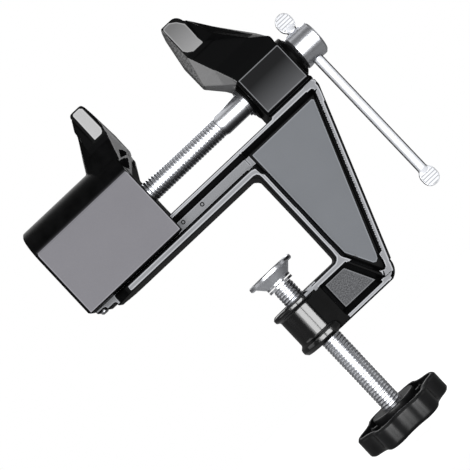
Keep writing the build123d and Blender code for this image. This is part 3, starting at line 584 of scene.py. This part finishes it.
def tidy_mesh(obj):
    """Merges touching vertices, drops flat faces, closes holes and turns the faces outwards."""
    bm = bmesh.new()
    bm.from_mesh(obj.data)
    bmesh.ops.remove_doubles(bm, verts=bm.verts, dist=MERGE_DIST * MM)
    bmesh.ops.dissolve_degenerate(bm, edges=bm.edges, dist=MERGE_DIST * MM)
    bmesh.ops.holes_fill(bm, edges=bm.edges, sides=0)
    bmesh.ops.recalc_face_normals(bm, faces=bm.faces)
    bm.to_mesh(obj.data)
    bm.free()


def sharpen(obj):
    """Smooth shading with the sharper edges kept crisp."""
    obj.data.shade_smooth()
    obj.data.set_sharp_from_angle(angle=math.radians(SHARP_DEG))


def places(mesh):
    """Each vertex with its place in millimetres, its y counted outwards from the middle."""
    for vertex in mesh.vertices:
        yield vertex, vertex.co.x / MM, abs(vertex.co.y) / MM, vertex.co.z / MM


def along(line, z):
    """The value of a line of points (z, value) at a height, its points given from low to high."""
    for (low_z, low), (high_z, high) in zip(line, line[1:]):
        if z <= high_z:
            return low + (high - low) * max(z - low_z, 0) / (high_z - low_z)
    return line[-1][1]


def swell_back(mesh, back, swell, outward):
    """Moves the back of a jaw outwards, less with depth behind it."""
    low_z = swell[0][0]
    for vertex, x, _, z in places(mesh):
        if z < low_z:
            continue
        depth = (along(back, z) - x) * outward[0]
        share = min(max(1.0 - depth / SWELL_DEPTH, 0.0), 1.0)
        if share > 0.0 and depth > -SWELL_REACH:
            move = along(swell, z) * share * MM
            vertex.co.x += move * outward[0]
            vertex.co.z += move * outward[1]


def in_box(x, z, box):
    """Whether a point lies in a box of ((low x, high x), (low z, high z))."""
    return box[0][0] < x < box[0][1] and box[1][0] < z < box[1][1]


def patch_inset(x, z, outline):
    """How far a point is inside an outline, negative outside it."""
    nearest = math.inf
    inside = False
    for (ax, az), (bx, bz) in zip(outline, outline[1:] + outline[:1]):
        dx, dz = bx - ax, bz - az
        share = min(max(((x - ax) * dx + (z - az) * dz) / (dx * dx + dz * dz), 0.0), 1.0)
        nearest = min(nearest, math.hypot(x - ax - dx * share, z - az - dz * share))
        if (az > z) != (bz > z) and x < ax + dx * (z - az) / dz:
            inside = not inside
    return nearest if inside else -nearest


def store_insets(mesh, limit, extra=None):
    """Keeps how far each point of a Y-facing flat is inside its light area, in millimetres.

    limit gives the room inside a drawn outline, and whether the flat's own edge doesn't count.
    extra adds light areas beyond it.
    """
    mesh.update()
    flat = [abs(normal.vector.y) > FLAT_FACING for normal in mesh.vertex_normals]
    edge = kdtree.KDTree(flat.count(False))
    for index, vertex in enumerate(mesh.vertices):
        if not flat[index]:
            edge.insert(vertex.co, index)
    edge.balance()
    insets = [0.0] * len(flat)
    for index, vertex in enumerate(mesh.vertices):
        if flat[index]:
            place = vertex.co / MM
            room, alone = limit(place.x, abs(place.y), place.z)
            if room > 0.0 and not alone:
                room = min(room, edge.find(vertex.co)[2] / MM)
            insets[index] = max(room, extra(place.x, abs(place.y), place.z)) if extra else room
    mesh.attributes.new("inset", "FLOAT", "POINT").data.foreach_set("value", insets)


def slant_gap(x, z):
    """How far a point is inside the frame's slanted outer edge."""
    return (along(SLANT_OUTSIDE, z) - x) * SLANT_RISE


def frame_limit(x, y, z):
    """How far inside its light area a point of the frame's flats lies, and if only that counts."""
    if z > PATCH_LOW_Z:
        return patch_inset(x, z, FIXED_PATCH) + EDGE_ROOM, False
    if y < GROOVE_FLOOR_Y + LEVEL_ROOM and in_box(x, z, STRIP_LIGHT_BOX):
        return min(STRIP_END[1][0] - x, STRIP_END[2][1] - z, z - STRIP_END[0][1]), False
    if y < GROOVE_FLOOR_Y + LEVEL_ROOM and x > THROAT_RIM_X and x > along(RIB_LINE, z):
        return patch_inset(x, z, WEB_PATCH), False
    if abs(y - BEAM_FLANK_Y) > LEVEL_ROOM:
        return FAR, False
    gap = slant_gap(x, z)
    if z < SLANT_TOP_Z + SLANT_TOP_ROOM and gap < SLANT_LIGHT[1] + SLANT_INNER_ROOM:
        room = min(gap - SLANT_LIGHT[0], max(SLANT_LIGHT[1] - gap, BOTTOM_TURN_Z - z))
        if x > TOE_CENTRE[0] and z < TOE_CENTRE[1]:
            room = min(room, TOE_LIGHT_R - math.hypot(x - TOE_CENTRE[0], z - TOE_CENTRE[1]))
        return room + RIM_OUTLINE, True
    if z > COLLAR_LOW_Z - COLLAR_ROOM and x < COLLAR_X + COLLAR_ROOM:
        return max(COLLAR_LOW_Z - z, x - COLLAR_X), False
    if ARM_TOP_Z < z < LOWER_RIM_END_Z and x < THROAT_RIM_X + LOWER_RIM_ROOM:
        return patch_inset(x, z, LOWER_RIM) + RIM_OUTLINE, True
    if RIB_TOP_Z < z < ARM_TOP_Z + ARM_TOP_ROOM and x < THROAT_RIM_X:
        return ARM_STRIP_TOP_Z - z, False
    if RIB_TOP_Z > z > RIB_BOTTOM_Z and x > ARM_BLACK_X:
        return max(z - RIB_TOP_Z, RIB_BOTTOM_Z - z), False
    if z < RIB_BOTTOM_Z:
        return z - BOTTOM_RIM_LOW_Z + RIM_OUTLINE, False
    return FAR, False


def corner_room(x, y, z):
    """How far inside a light corner of the plates a point lies."""
    if abs(y - BEAM_FLANK_Y) > LEVEL_ROOM or not near_corners(x, z):
        return -FAR
    return max(patch_inset(x, z, outline) for outline in PLATE_CORNERS) + RIM_OUTLINE


def near_corners(x, z):
    """Whether a point is anywhere near a light corner of the plates."""
    low, high = LOW_CORNERS_Z
    return low < z < high or x > HEEL_CORNER[0] and z > HEEL_CORNER[1]


def moving_jaw_limit(x, y, z):
    """How far inside its light area a point of the moving jaw's flats lies."""
    return (patch_inset(x, z, MOVING_PATCH) + EDGE_ROOM if z > PATCH_LOW_Z else FAR), False


def shift_throat(mesh):
    """Moves the throat's rim away from the table gap, most at its top."""
    start, full, end = THROAT_WALL
    for vertex, x, _, z in places(mesh):
        if THROAT_SHIFT[0][0] < z < THROAT_SHIFT[-1][0] and start < x < end:
            share = min((end - x) / (end - full), 1.0)
            vertex.co.x += along(THROAT_SHIFT, z) * share * MM


def widen_slant_rim(mesh):
    """Moves the inner edge of the slanted rim inwards, so that its wall stands straighter."""
    start = SLANT_LIGHT[0]
    for vertex, x, y, z in places(mesh):
        if y > GROOVE_FLOOR_Y + SLANT_WALL_FOOT and RIB_BOTTOM_Z < z < SLANT_WALL_TOP_Z:
            gap = slant_gap(x, z)
            if start < gap < SLANT_REACH:
                share = min((gap - start) / SLANT_EASE, 1.0) * (y - GROOVE_FLOOR_Y) / GROOVE_DROP
                vertex.co.x -= SLANT_WIDEN * min(share, 1.0) * MM


def raise_corners(mesh):
    """Brings the light corners of the frame's plates up to them, and the groove's end down."""
    for vertex, x, y, z in places(mesh):
        if GROOVE_FLOOR_Y - LEVEL_ROOM < y < BEAM_FLANK_Y and near_corners(x, z):
            if max(patch_inset(x, z, outline) for outline in PLATE_CORNERS) > -CORNER_REACH:
                vertex.co.y = math.copysign(BEAM_FLANK_Y * MM, vertex.co.y)
        elif GROOVE_FLOOR_Y < y < BEAM_FLANK_Y + FLANK_SLACK and in_box(x, z, STRIP_END_BOX):
            if patch_inset(x, z, STRIP_END) > -STRIP_END_REACH:
                vertex.co.y = math.copysign(GROOVE_FLOOR_Y * MM, vertex.co.y)
    mesh.update()
    # The light corners of the plates take the rims' painted highlight.
    light = CASTING_MATERIALS.index(RIM_GREY)
    strip = CASTING_MATERIALS.index(STRIP_GREY)
    for face in mesh.polygons:
        x, y, z = face.center / MM
        if abs(face.normal.y) > SIDE_FACING:
            if abs(y) > BEAM_FLANK_Y - EDGE_SLACK and corner_room(x, abs(y), z) > 0.0:
                face.material_index = light
            elif abs(abs(y) - GROOVE_FLOOR_Y) < EDGE_SLACK and x < STRIP_END[1][0]:
                if in_box(x, z, STRIP_END_BOX):
                    face.material_index = strip


def round_toe(mesh):
    """Rounds the frame's lower outer corner."""
    centre_x, centre_z = TOE_CENTRE
    for vertex, x, _, z in places(mesh):
        out, down = x - centre_x, z - centre_z
        reach = math.hypot(out, down)
        if out > 0.0 and down < 0.0 and TOE_R < reach < TOE_R + TOE_REACH:
            vertex.co.x = (centre_x + out * TOE_R / reach) * MM
            vertex.co.z = (centre_z + down * TOE_R / reach) * MM


def fill_heel(mesh):
    """Stands the frame's upper outer corner up straight under the boss."""
    start, end = HEEL_X
    for vertex, x, y, z in places(mesh):
        if HEEL_WAS[0][0] < z < HEEL_WAS[-1][0] and start < x < end:
            if y < BEAM_FLANK_Y + HEEL_ROOM:
                share = min((x - start) / HEEL_EASE, 1.0)
                vertex.co.x += (along(HEEL_IS, z) - along(HEEL_WAS, z)) * share * MM


def side_pocket_room(x, z):
    """How far a point is inside the small pockets in the side of the moving jaw."""
    return max(patch_inset(x, z, outline) for outline in SIDE_POCKETS)


def press_side_pockets(mesh):
    """Sinks the small pockets in the side of the moving jaw."""
    sunk = []
    for index, vertex in enumerate(mesh.vertices):
        x, z = vertex.co.x / MM, vertex.co.z / MM
        if in_box(x, z, SIDE_POCKETS_BOX):
            normal = mesh.vertex_normals[index].vector
            room = side_pocket_room(x, z)
            if room > 0.0 and min(normal.x, abs(normal.y)) > POCKET_WALL_FACING:
                depth = min(room / SIDE_POCKET_EASE, 1.0) * SIDE_POCKET_DEPTH * MM
                sunk.append((index, vertex.co - normal * depth))
    for index, place in sunk:
        mesh.vertices[index].co = place


def cast_copy(name, node_name, mats, choose, voxel, rounds):
    """A copy of a CAD solid with cast, rounded edges and a material for each face."""
    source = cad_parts[node_name]
    bm = bmesh.new()
    bm.from_mesh(source.data)
    bm.transform(source.matrix_world)
    bmesh.ops.remove_doubles(bm, verts=bm.verts, dist=MERGE_DIST * MM)
    rough = bpy.data.meshes.new(name + "_rough")
    bm.to_mesh(rough)
    bm.free()
    draft = bpy.data.objects.new(name + "_draft", rough)
    SCENE.collection.objects.link(draft)
    remesh = draft.modifiers.new("remesh", "REMESH")
    remesh.mode = "VOXEL"
    remesh.voxel_size = voxel * MM
    remesh.use_smooth_shade = True
    smooth = draft.modifiers.new("smooth", "SMOOTH")
    smooth.factor = SMOOTH_FACTOR
    smooth.iterations = rounds
    depsgraph = bpy.context.evaluated_depsgraph_get()
    mesh = bpy.data.meshes.new_from_object(draft.evaluated_get(depsgraph))
    bpy.data.objects.remove(draft)
    mesh.name = name
    mesh.materials.clear()
    for mat in mats:
        mesh.materials.append(mat)
    if len(mats) > 1:
        indices = [mats.index(choose(face.normal, face.center / MM)) for face in mesh.polygons]
        mesh.polygons.foreach_set("material_index", indices)
    obj = bpy.data.objects.new(name, mesh)
    SCENE.collection.objects.link(obj)
    return obj


def dress(obj, body, slot, *replaced):
    """The piece rides on a body and stands for CAD nodes; slot is not used."""
    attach(obj, body)
    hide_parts(*replaced)


def threaded_rod(name, start, end, mat, steps=56):
    """A rod with a helical thread along Z, from start to end."""
    count = len(THREAD_PROFILE)
    turns = math.ceil((end - start) / PITCH) + 1
    root = THREAD_R - THREAD_DEPTH
    verts = []
    for turn in range(-1, turns):
        for part, height in THREAD_PROFILE:
            for step in range(steps):
                z = start + (turn + part + step / steps) * PITCH
                fade = min(max(min(z - start, end - z) / (RUNOUT_TURNS * PITCH), 0.0), 1.0)
                radius = root + THREAD_DEPTH * height * fade
                angle = 2 * math.pi * step / steps
                z = min(max(z, start), end)
                verts.append((radius * math.cos(angle), radius * math.sin(angle), z))
    rows = (turns + 1) * count
    faces = []
    for row in range(rows - 1):
        for step in range(steps):
            following = step + 1
            lift = 0
            if following == steps:
                following, lift = 0, count
            if row + 1 + lift >= rows:
                continue
            faces.append((row * steps + step, (row + lift) * steps + following,
                          (row + 1 + lift) * steps + following, (row + 1) * steps + step))
    obj = add_mesh(name, verts, faces, mat)
    tidy_mesh(obj)
    return obj


def lathe(name, outline, mat, steps=72):
    """A solid turned about Z from points (radius, z)."""
    verts = []
    faces = []
    for radius, z in outline:
        for step in range(steps):
            angle = 2 * math.pi * step / steps
            verts.append((radius * math.cos(angle), radius * math.sin(angle), z))
    for row in range(len(outline) - 1):
        for step in range(steps):
            following = (step + 1) % steps
            faces.append((row * steps + step, row * steps + following,
                          (row + 1) * steps + following, (row + 1) * steps + step))
    obj = add_mesh(name, verts, faces, mat)
    tidy_mesh(obj)
    return obj


def join(name, pieces):
    """One object from several."""
    bpy.ops.object.select_all(action="DESELECT")
    for piece in pieces:
        piece.select_set(True)
    bpy.context.view_layer.objects.active = pieces[0]
    bpy.ops.object.join()
    pieces[0].name = name
    pieces[0].data.name = name
    return pieces[0]


def lay_along_x(obj):
    """Turns a part made along Z to lie along X at the spindle's height."""
    turn = Matrix.Rotation(math.radians(90), 4, "Y")
    obj.data.transform(Matrix.Translation((0, 0, SPINDLE_Z * MM)) @ turn)


# Spindle

def dress_spindle():
    """The spindle with its real thread and grooved shank, made along Z and laid along X."""
    low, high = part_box("spindle")
    start, end = low[0] / MM, high[0] / MM
    thread = threaded_rod("spindle_thread", start, THREAD_END_X, THREAD_STEEL)
    clip_low, clip_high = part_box("retaining_clip")
    groove_start, groove_end = clip_low[0] / MM, clip_high[0] / MM
    groove_r = SHANK_R - GROOVE_DEPTH
    outline = [(0.0, THREAD_END_X + SHANK_SHOULDER[0][0])]
    outline += [(radius, THREAD_END_X + past) for past, radius in SHANK_SHOULDER]
    outline += [
        (SHANK_R, groove_start), (groove_r, groove_start), (groove_r, groove_end),
        (SHANK_R, groove_end), (SHANK_R, end - SHANK_CHAMFER), (SHANK_R - SHANK_CHAMFER, end),
        (0.0, end),
    ]
    shank = lathe("spindle_shank", outline, TURNED_STEEL)
    sharpen(shank)
    rod = join("spindle_rod", [thread, shank])
    lay_along_x(rod)
    dress(rod, "spindle", "screw_steel", "spindle")


def dress_clamp_screw():
    """The clamp screw with its real thread, neck and ball."""
    low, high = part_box("clamp_screw")
    ring_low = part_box("pad_ring")[0]
    shoulder = ring_low[2] / MM - RING_GAP
    ball_z = high[2] / MM - BALL_R
    thread = threaded_rod("clamp_thread", low[2] / MM, shoulder, THREAD_STEEL)
    foot = -math.acos(NECK_R / BALL_R)
    arc = [foot + (math.pi / 2 - foot) * step / BALL_STEPS for step in range(BALL_STEPS + 1)]
    outline = [(0.0, shoulder - NECK_SUNK), (NECK_R, shoulder - NECK_SUNK)]
    outline += [(BALL_R * math.cos(a), ball_z + BALL_R * math.sin(a)) for a in arc]
    neck = lathe("clamp_neck", outline, TURNED_STEEL, NECK_STEPS)
    rod = join("clamp_screw_rod", [thread, neck])
    dress(rod, "screw", "screw_steel", "clamp_screw")


# Painted castings

def frame_face(normal, centre):
    """The material of one face of the frame, by its direction and place."""
    x, y, z = centre[0], abs(centre[1]), centre[2]
    across = abs(normal.y)
    on_jaw_face = z > SHOULDER_TOP_Z + SHOULDER_ROOM and x < along(FIXED_EDGE, z) + EDGE_SLACK
    if on_jaw_face and normal.x < -TOWARDS_JAW:
        return GRIP_GREY if x < along(GRIP_EDGE, z) else JAW_FACE_GREY
    on_boss = x < CLAMP_BOSS_X and (x * x + y * y) ** 0.5 > CLAMP_BOSS_X - CLAMP_BOSS_ROOM
    if on_boss and z < ARM_TOP_Z + CLAMP_BOSS_ROOM:
        # Painted highlight: the boss's upper lip beside the arm takes a pale grey.
        if z > ARM_TOP_Z - LIP_HEIGHT and x > LIP_STRIP_X and across > LIP_FACING:
            return LIP_HIGHLIGHT
        on_plate = across > PLATE_FACING and y < BEAM_FLANK_Y + EDGE_SLACK and x > CLAMP_PLATE_X
        return BLACK if on_plate else GLOSS_BLACK
    # Flats facing along Y take the painted sheen grey of their area; the rest stays black.
    if across < SIDE_FACING:
        return BLACK
    if x < ARM_BLACK_X and z < ARM_TOP_Z - ARM_BLACK_DROP:
        return BLACK
    if z > TIP_LOW_Z:
        return RIGHT_TIP_GREY
    if y > BOSS_FLANK_Y - FACE_ROOM:
        return BOSS_GREY
    if y > BEAM_FLANK_Y - FACE_ROOM:
        return RIM_GREY
    if y > GROOVE_FLOOR_Y + FACE_ROOM:
        return BLACK
    if z < ARM_TOP_Z - RECESS_DROP and x < ARM_RIB_X:
        return GRAINED_GREY
    return STRIP_GREY if x < THROAT_RIM_X else WEB_GREY


def moving_jaw_face(normal, centre):
    """The material of one face of the moving jaw, by its direction and place."""
    x, y, z = centre[0], abs(centre[1]), centre[2]
    in_pocket = z < POCKET_TOP_Z and y < POCKET_HALF_WIDTH and x < POCKET_FACE_X
    # Faces turned down under the jaw's front take a painted sheen.
    if CHEEK_LOW_Z < z < POCKET_TOP_Z and x > CHEEK_BACK_X:
        if normal.z < CHEEK_DOWN and normal.x > CHEEK_BACKWARD:
            return CHEEK_GREY
    on_jaw_face = z > MOVING_FACE_LOW_Z and x > along(MOVING_EDGE, z) - EDGE_SLACK
    if on_jaw_face and normal.x > TOWARDS_JAW and not in_pocket:
        if side_pocket_room(x, z) > 0.0:
            return BLACK
        return GRIP_GREY if normal.x > GRIP_FACING else JAW_FACE_GREY
    if abs(normal.y) < SIDE_FACING:
        return BLACK
    if z > TIP_LOW_Z:
        return LEFT_TIP_GREY
    return PANEL_GREY if y > BOSS_FLANK_Y - FACE_ROOM else BLACK


def dress_castings():
    """The frame and the moving jaw with painted sheen on their grey flats and rounded black edges.
    """
    body = cast_copy("frame_casting", "clamp_frame", CASTING_MATERIALS, frame_face, *CASTING_COPY)
    swell_back(body.data, FIXED_BACK, FIXED_SWELL, FIXED_OUTWARD)
    shift_throat(body.data)
    widen_slant_rim(body.data)
    raise_corners(body.data)
    round_toe(body.data)
    fill_heel(body.data)
    store_insets(body.data, frame_limit, corner_room)
    dress(body, "frame", "body_paint", "clamp_frame")
    jaw = cast_copy("moving_jaw_casting", "moving_jaw", CASTING_MATERIALS, moving_jaw_face,
                    *CASTING_COPY)
    swell_back(jaw.data, MOVING_BACK, MOVING_SWELL, MOVING_OUTWARD)
    press_side_pockets(jaw.data)
    store_insets(jaw.data, moving_jaw_limit)
    dress(jaw, "jaw", "body_paint", "moving_jaw")


def dress_knob():
    """The lobed knob with its moulded edges rounded."""
    knob = cast_copy("lobed_knob", "clamp_knob", [KNOB_BLACK], None, *KNOB_COPY)
    dress(knob, "screw", "knob_plastic", "clamp_knob")


def bar_face(normal, centre):
    """The material of one face of the tommy bar: its paddles take painted groove shade."""
    on_paddle = abs(normal.y) > FLAT_FACING and abs(centre[1]) < PADDLE_FACE_Y
    return PADDLE_STEEL if on_paddle else BAR_STEEL


def dress_bar():
    """The tommy bar with its pressed ends rounded, their pressed lines painted as shade."""
    mats = [BAR_STEEL, PADDLE_STEEL]
    bar = cast_copy("tommy_bar_pressed", "tommy_bar", mats, bar_face, *BAR_COPY)
    store_insets(bar.data, lambda x, y, z: (FAR, False))
    dress(bar, "bar", "bar_steel", "tommy_bar")


def plain_material(name, mat):
    """One material over a CAD node."""
    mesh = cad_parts[name].data
    mesh.materials.clear()
    mesh.materials.append(mat)


def dress_cad_nodes():
    """Materials of the nodes that keep their CAD shape."""
    for name in ("spindle_head", "spindle_nut", "knob_insert", "pad_ring", "swivel_pad"):
        plain_material(name, TURNED_STEEL)
    for name in ("clip_washer", "retaining_clip", "rail_stop_screw"):
        plain_material(name, CLIP_STEEL)
    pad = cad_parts["swivel_pad"].data
    pad.materials.append(PAD_STEEL)
    for face in pad.polygons:
        face.material_index = 1 if face.normal.z < PAD_CONE_DOWN else 0


# Stage

def show_by_ray(tree, lit, shown, surface):
    """One shader for what the camera sees, straight or through glass, another for all else."""
    rays = tree.nodes.new("ShaderNodeLightPath").outputs
    mix = tree.nodes.new("ShaderNodeMixShader")
    seen = calc(tree, "MAXIMUM", rays["Is Camera Ray"], rays["Is Transmission Ray"])
    tree.links.new(seen, mix.inputs["Fac"])
    tree.links.new(lit, mix.inputs[1])
    tree.links.new(shown, mix.inputs[2])
    tree.links.new(mix.outputs["Shader"], surface)


def white_background():
    """A world that is seen as white and lights everything with a low, even level."""
    world = bpy.data.worlds.new("studio")
    SCENE.world = world
    world.use_nodes = True
    tree = world.node_tree
    tree.nodes.clear()
    lit = node(tree, "ShaderNodeBackground", Color=(1, 1, 1, 1), Strength=WORLD_LIGHT)
    white = node(tree, "ShaderNodeBackground", Color=(1, 1, 1, 1), Strength=1.0)
    out = tree.nodes.new("ShaderNodeOutputWorld")
    show_by_ray(tree, lit.outputs["Background"], white.outputs["Background"], out.inputs["Surface"])


def floor():
    """A plain white floor that keeps a soft shadow, ending a little in front of the vise."""
    half = FLOOR_HALF
    corners = ((-half, FLOOR_FRONT_Y), (half, FLOOR_FRONT_Y), (half, half), (-half, half))
    obj = add_mesh("floor", [(x, y, FLOOR_Z) for x, y in corners],
                   [(0, 1, 2, 3)], floor_material(), False)


def floor_material():
    """Seen as white with part of the real light, so that the shadow stays."""
    mat = bpy.data.materials.new("floor_white")
    mat.use_nodes = True
    tree = mat.node_tree
    tree.nodes.clear()
    lit = node(tree, "ShaderNodeBsdfDiffuse", Color=(*[FLOOR_LIT_GREY] * 3, 1))
    shade = node(tree, "ShaderNodeBsdfDiffuse", Color=(*[FLOOR_SHADE_GREY] * 3, 1))
    glow = node(tree, "ShaderNodeEmission", Color=(1, 1, 1, 1), Strength=FLOOR_GLOW)
    seen = tree.nodes.new("ShaderNodeAddShader")
    out = tree.nodes.new("ShaderNodeOutputMaterial")
    tree.links.new(shade.outputs["BSDF"], seen.inputs[0])
    tree.links.new(glow.outputs["Emission"], seen.inputs[1])
    show_by_ray(tree, lit.outputs["BSDF"], seen.outputs["Shader"], out.inputs["Surface"])
    return mat


def softbox(name, place, aim, width, height, power):
    """A soft light, placed and aimed in millimetres."""
    data = bpy.data.lights.new(name, "AREA")
    data.shape = "RECTANGLE"
    data.size = width * MM
    data.size_y = height * MM
    data.energy = power
    obj = bpy.data.objects.new(name, data)
    SCENE.collection.objects.link(obj)
    place, aim = Vector(place) * MM, Vector(aim) * MM
    obj.location = place
    obj.rotation_euler = (aim - place).to_track_quat("-Z", "Y").to_euler()


def lights():
    """A strong soft light in front in two panes, and weak broad lights all round."""
    for light in LIGHTS:
        softbox(*light)


def camera():
    """The photograph's viewpoint: level with the table gap, rolled over."""
    data = bpy.data.cameras.new("camera")
    data.sensor_width = SENSOR_MM
    data.lens = FOCAL_PX / PICTURE_PX * SENSOR_MM
    data.shift_x = -SHIFT_PX / PICTURE_PX
    data.shift_y = SHIFT_PX / PICTURE_PX
    data.clip_start, data.clip_end = CLIP_M
    obj = bpy.data.objects.new("camera", data)
    SCENE.collection.objects.link(obj)
    turn = (Matrix.Rotation(math.radians(LOOK_LEFT_DEG), 4, "Z")
            @ Matrix.Rotation(math.radians(90 + LOOK_UP_DEG), 4, "X")
            @ Matrix.Rotation(math.radians(-ROLL_DEG), 4, "Z"))
    obj.matrix_world = Matrix.Translation(Vector(EYE) * MM) @ turn
    SCENE.camera = obj


SCENE.view_settings.view_transform = "Standard"
camera()
lights()
white_background()
floor()
dress_cad_nodes()
dress_castings()
dress_knob()
dress_bar()
dress_spindle()
dress_clamp_screw()
